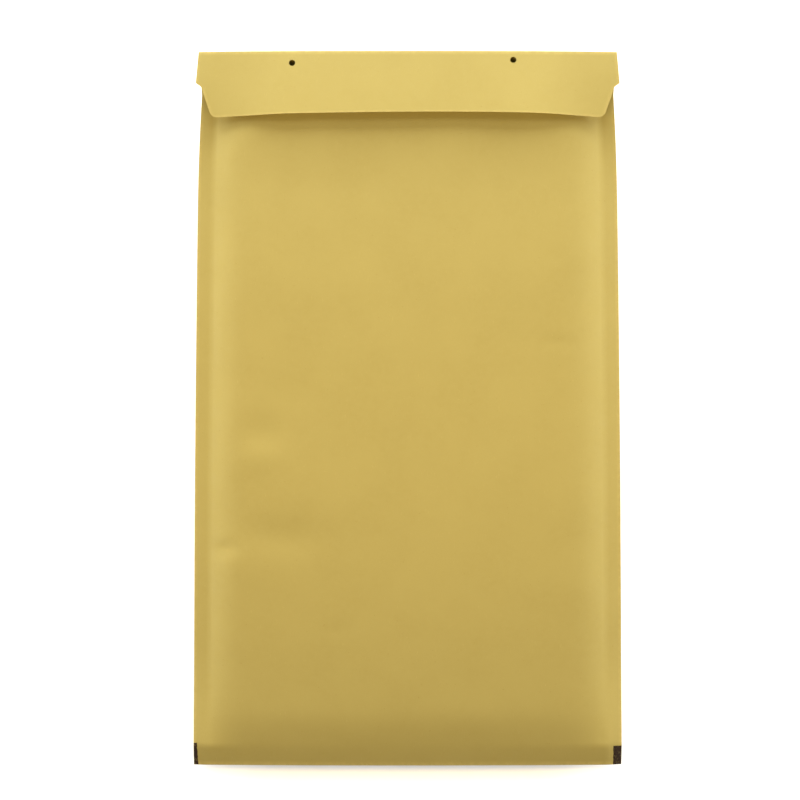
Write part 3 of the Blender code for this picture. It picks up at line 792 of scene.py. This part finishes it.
def film_finish(colors):
    """Clear, slightly hazy bubble film."""
    finish = Finish("bubble_film")
    haze = finish.noise(240.0, 3.0, 0.5)
    tint = finish.mixed(finish.ranged(haze, *NOISE_SPREAD), opaque(colors.film), opaque(colors.film, 0.88))
    finish.feed("Base Color", tint)
    finish.feed("Roughness", finish.ranged(haze, *NOISE_SPREAD, 0.12, 0.28))
    finish.feed("Transmission Weight", 0.75)
    finish.feed("IOR", 1.2)
    finish.feed("Normal", finish.bump(finish.noise(900.0, 4.0, 0.6), 0.00005, 0.3))
    return finish.material


def glue_finish(colors):
    """Tacky pale glue with a slow, uneven gloss."""
    finish = Finish("glue")
    streaks = finish.noise(1.0, 3.0, 0.5, finish.stretched((60.0, 900.0, 900.0)))
    tone = finish.mixed(finish.ranged(streaks, *NOISE_SPREAD), opaque(colors.glue), opaque(colors.glue, 0.85))
    finish.feed("Base Color", tone)
    finish.feed("Roughness", finish.ranged(streaks, *NOISE_SPREAD, 0.2, 0.45))
    finish.feed("Normal", finish.bump(streaks, 0.00004, 0.4))
    return finish.material


def liner_finish(colors):
    """White release paper with a satin coat and faint fibres."""
    finish = Finish("release_paper")
    cloud = finish.noise(380.0, 5.0, 0.6)
    tone = finish.mixed(finish.ranged(cloud, *NOISE_SPREAD), opaque(colors.liner), opaque(colors.liner, 0.93))
    finish.feed("Base Color", tone)
    finish.feed("Roughness", finish.ranged(cloud, *NOISE_SPREAD, 0.35, 0.5))
    finish.feed("Coat Weight", 0.25)
    finish.feed("Coat Roughness", 0.3)
    finish.feed("Normal", finish.bump(cloud, 0.00003, 0.3))
    return finish.material


def floor_finish(colors):
    """Plain pale table top."""
    finish = Finish("pale_table")
    cloud = finish.ranged(finish.noise(6.0, 2.0, 0.5), *NOISE_SPREAD)
    finish.feed("Base Color", finish.mixed(cloud, opaque(colors.floor), opaque(colors.floor, 0.985)))
    finish.feed("Roughness", 0.9)
    return finish.material


class ENVELOPE_OT_kraft_sheet(bpy.types.Operator):
    """Make the folded kraft sheet with its flap, holes and printed marks"""
    bl_idname = "envelope.kraft_sheet"
    bl_label = "Kraft Sheet"

    def execute(self, context):
        shape = EnvelopeShape(context.scene.envelope_sizes)
        layout = SheetLayout(shape)
        columns, rows = layout.columns, layout.rows
        mesh, column_of, row_of = grid_mesh(len(columns), len(rows))
        # Lightening at cut edges and creases: partly wear, partly a painted highlight along the cut edges
        wear_and_highlight = mesh.verts.layers.float.new("edge_wear")
        for vert in mesh.verts:
            row, column = rows[vert[row_of]], columns[vert[column_of]]
            vert.co = layout.point(row, column)
            vert[wear_and_highlight] = edge_wear(row, column, shape)
        material = kraft_finish(context.scene.envelope_colors)
        sheet = add_piece("kraft_sheet", mesh, material, "paper_envelope")
        add_thickness(sheet, shape.s.paper)
        cut_away(sheet, [self.make_punch(shape, x, reach) for x, reach in HOLE_PLACES])
        finish_surface(sheet)
        return {"FINISHED"}

    def make_punch(self, shape, x, reach):
        """Round punch, square to the flap at one hole."""
        punch = bmesh.new()
        radius = shape.s.hole_diameter / 2
        bmesh.ops.create_cone(punch, cap_ends=True, segments=PUNCH_SIDES, radius1=radius, radius2=radius,
                              depth=PUNCH_LENGTH * shape.s.paper)
        cutter = add_mesh("punch", punch)
        y, z = shape.flap_place(x, reach, shape.s.paper / 2)
        cutter.location = (x, y, z)
        cutter.rotation_euler = (-shape.flap_angle(x), 0.0, 0.0)
        return cutter


class ENVELOPE_OT_bubble_pouch(bpy.types.Operator):
    """Make the bubble-film pouch that lines the envelope"""
    bl_idname = "envelope.bubble_pouch"
    bl_label = "Bubble Pouch"

    def execute(self, context):
        shape = EnvelopeShape(context.scene.envelope_sizes)
        s = shape.s
        columns = columns_across(s, s.skin_step)
        rows = spread(shape.bottom_y, shape.seam_y, s.skin_step)
        rows += spread(rows[-1], shape.mouth_y - s.lining_setback, s.skin_step)[1:]
        mesh, column_of, row_of = grid_mesh(len(columns), len(rows))
        for vert in mesh.verts:
            y = rows[vert[row_of]]
            vert.co = (place_across(columns[vert[column_of]], shape.body_half_width(y)), y, 0.0)
        thicken_between(mesh, shape, shape.lining_low,
                        lambda x, y: shape.lining_high(x, y) + shape.lining_relief(x, y))
        pouch = add_piece("bubble_film_pouch", mesh, film_finish(context.scene.envelope_colors),
                          "bubble_lining")
        cut_away(pouch, [self.make_pocket(shape)])
        finish_surface(pouch)
        return {"FINISHED"}

    def make_pocket(self, shape):
        """The room inside the pouch, with a round bubble standing in at each lattice place."""
        s = shape.s
        half = HALF_WIDTH - s.side_seam - s.pocket_side_wall
        low_y = s.bottom_seam + s.pocket_side_wall - HALF_LENGTH
        high_y = shape.mouth_y + 2 * s.lining_setback
        columns = round(2 * half / s.film_step) + 1
        rows = round((high_y - low_y) / s.film_step) + 1
        mesh, column_of, row_of = grid_mesh(columns, rows)
        for vert in mesh.verts:
            y = blend(low_y, high_y, vert[row_of] / (rows - 1))
            local_half = shape.body_half_width(min(y, shape.mouth_y)) - s.side_seam - s.pocket_side_wall
            vert.co = (local_half * (2 * vert[column_of] / (columns - 1) - 1), y, 0.0)

        def face(x, y, side):
            middle = (shape.lining_low(x, y) + shape.lining_high(x, y)) / 2
            field = shape.padding(x, y, s.pocket_side_wall)
            bubble = s.bubble_height * field * bubble_profile(x, y, s)
            relief = shape.lining_relief(x, y) if side > 0 else 0.0
            return middle + relief + side * (blend(POCKET_EDGE / 2, shape.wall_half, field) - bubble)

        thicken_between(mesh, shape, lambda x, y: face(x, y, -1), lambda x, y: face(x, y, 1))
        return add_mesh("pocket", mesh)


def thicken_between(mesh, shape, height_low, height_high):
    """Make a flat grid into a closed solid between two height functions."""
    grown = bmesh.ops.extrude_face_region(mesh, geom=list(mesh.faces))
    upper = {item for item in grown["geom"] if isinstance(item, bmesh.types.BMVert)}
    for vert in mesh.verts:
        height = height_high if vert in upper else height_low
        vert.co = shape.bowed(vert.co.x, vert.co.y, height(vert.co.x, vert.co.y))
    bmesh.ops.recalc_face_normals(mesh, faces=mesh.faces)


def bubble_profile(x, y, sizes):
    """Height of the bubble film at a place, as a share of a bubble's height."""
    row_step = sizes.bubble_pitch * math.sqrt(3) / 2
    row = round(y / row_step)
    nearest = sizes.bubble_pitch
    for near in (row - 1, row, row + 1):
        shift = 0.5 * sizes.bubble_pitch * (near % 2)
        centre_x = round((x - shift) / sizes.bubble_pitch) * sizes.bubble_pitch + shift
        nearest = min(nearest, math.hypot(x - centre_x, y - near * row_step))
    share = clamp(nearest / (sizes.bubble_diameter / 2))
    return (1.0 - share ** BUBBLE_ROUNDNESS) ** BUBBLE_FLATNESS


def strip_mesh(shape, length, width, depth):
    """Strip on the flap's inner face, at a depth under the flap's outer face."""
    s = shape.s
    centre = s.flap_length - s.glue_from_edge - s.glue_width / 2
    places = spread(-length / 2, length / 2, s.mesh_step)
    reaches = spread(centre + width / 2, centre - width / 2, s.mesh_step)
    mesh, column_of, row_of = grid_mesh(len(places), len(reaches))
    for vert in mesh.verts:
        x = places[vert[column_of]]
        y, z = shape.flap_place(x, reaches[vert[row_of]], depth)
        vert.co = (x, y, z)
    return mesh


class ENVELOPE_OT_flap_strips(bpy.types.Operator):
    """Make the glue band and the release strip on the flap's inner face"""
    bl_idname = "envelope.flap_strips"
    bl_label = "Flap Strips"

    def execute(self, context):
        shape = EnvelopeShape(context.scene.envelope_sizes)
        colors = context.scene.envelope_colors
        s = shape.s
        length = 2 * (shape.mouth_half - s.corner_taper - s.glue_from_corner)
        depth = s.paper + s.layer_gap
        glue = add_piece("glue_band", strip_mesh(shape, length, s.glue_width, depth), glue_finish(colors),
                         "adhesive_strip")
        add_thickness(glue, s.strip_thickness)
        finish_surface(glue)
        depth += s.strip_thickness + s.layer_gap
        liner_width = s.glue_width + 2 * s.liner_side_overlap
        mesh = strip_mesh(shape, length + 2 * s.liner_end_overlap, liner_width, depth)
        liner = add_piece("release_strip", mesh, liner_finish(colors), "release_liner")
        add_thickness(liner, s.strip_thickness)
        finish_surface(liner)
        return {"FINISHED"}


class ENVELOPE_OT_studio(bpy.types.Operator):
    """Make the pale table, the soft lights and the camera above"""
    bl_idname = "envelope.studio"
    bl_label = "Studio"

    def execute(self, context):
        scene = context.scene
        studio = scene.envelope_studio
        table = self.make_table(scene)
        lights = {name: self.add_light(name, place, size, getattr(studio, power))
                  for name, place, size, power in LIGHTS}
        lights["overhead_light"].data.color = studio.overhead_color
        self.keep_to_table(lights["table_light"], table)
        self.make_sky(scene, studio.sky)
        self.make_camera(scene, studio)
        scene.view_settings.view_transform = "Standard"
        return {"FINISHED"}

    def make_table(self, scene):
        """Wide flat table top."""
        mesh = bmesh.new()
        bmesh.ops.create_grid(mesh, x_segments=1, y_segments=1, size=TABLE_HALF_SIDE)
        table = add_mesh("table", mesh)
        table.data.materials.append(floor_finish(scene.envelope_colors))
        table.location.z = CAD_BOX[0][2] - TABLE_GAP
        return table

    def keep_to_table(self, light, table):
        """Let a light fall on the table alone."""
        lit = bpy.data.collections.new("lit_by_table_light")
        lit.objects.link(table)
        light.light_linking.receiver_collection = lit

    def add_light(self, name, place, size, power):
        """Soft rectangular light aimed at the envelope."""
        data = bpy.data.lights.new(name, "AREA")
        data.shape = "RECTANGLE"
        data.size, data.size_y = size
        data.energy = power
        light = bpy.data.objects.new(name, data)
        light.location = place
        light.rotation_euler = (-Vector(place)).to_track_quat("-Z", "Y").to_euler()
        light.visible_camera = False
        bpy.context.scene.collection.objects.link(light)
        return light

    def make_sky(self, scene, strength):
        """Even white surroundings."""
        world = bpy.data.worlds.new("even_light")
        world.use_nodes = True
        background = world.node_tree.nodes["Background"]
        background.inputs["Color"].default_value = (1.0, 1.0, 1.0, 1.0)
        background.inputs["Strength"].default_value = strength
        scene.world = world

    def make_camera(self, scene, studio):
        """Camera that looks straight down, framed as the photo is."""
        data = bpy.data.cameras.new("camera")
        height = studio.camera_height
        seen = PHOTO_PIXELS * studio.photo_scale
        data.sensor_width = SENSOR_WIDTH
        data.lens = SENSOR_WIDTH * (height - studio.scale_height) / seen
        camera = bpy.data.objects.new("camera", data)
        middle = PHOTO_PIXELS / 2
        x = (middle - studio.photo_centre_x) * studio.photo_scale
        y = (studio.photo_centre_y - middle) * studio.photo_scale
        camera.location = (x, y, height)
        scene.collection.objects.link(camera)
        scene.camera = camera


class ENVELOPE_PT_panel(bpy.types.Panel):
    """Lists the operators and the settings"""
    bl_idname = "ENVELOPE_PT_panel"
    bl_label = "Padded Envelope"
    bl_space_type = "VIEW_3D"
    bl_region_type = "UI"
    bl_category = "Envelope"

    def draw(self, context):
        layout = self.layout
        for operator in OPERATORS:
            layout.operator(operator.bl_idname)
        for group in SETTINGS:
            settings = getattr(context.scene, group)
            for name in settings.__annotations__:
                layout.prop(settings, name)


OPERATORS = (ENVELOPE_OT_kraft_sheet, ENVELOPE_OT_bubble_pouch, ENVELOPE_OT_flap_strips, ENVELOPE_OT_studio)
SETTINGS = {"envelope_sizes": EnvelopeSizes, "envelope_colors": EnvelopeColors,
            "envelope_studio": StudioSettings}
CLASSES = (*SETTINGS.values(), *OPERATORS, ENVELOPE_PT_panel)


def register():
    """Register the classes and the scene's settings."""
    for item in CLASSES:
        bpy.utils.register_class(item)
    for name, group in SETTINGS.items():
        setattr(bpy.types.Scene, name, PointerProperty(type=group))


def unregister():
    """Take the settings and the classes out again."""
    for name in SETTINGS:
        delattr(bpy.types.Scene, name)
    for item in reversed(CLASSES):
        bpy.utils.unregister_class(item)


def main():
    """Make every piece in order."""
    register()
    bpy.ops.envelope.kraft_sheet()
    bpy.ops.envelope.bubble_pouch()
    bpy.ops.envelope.flap_strips()
    bpy.ops.envelope.studio()


if __name__ == "__main__":
    main()
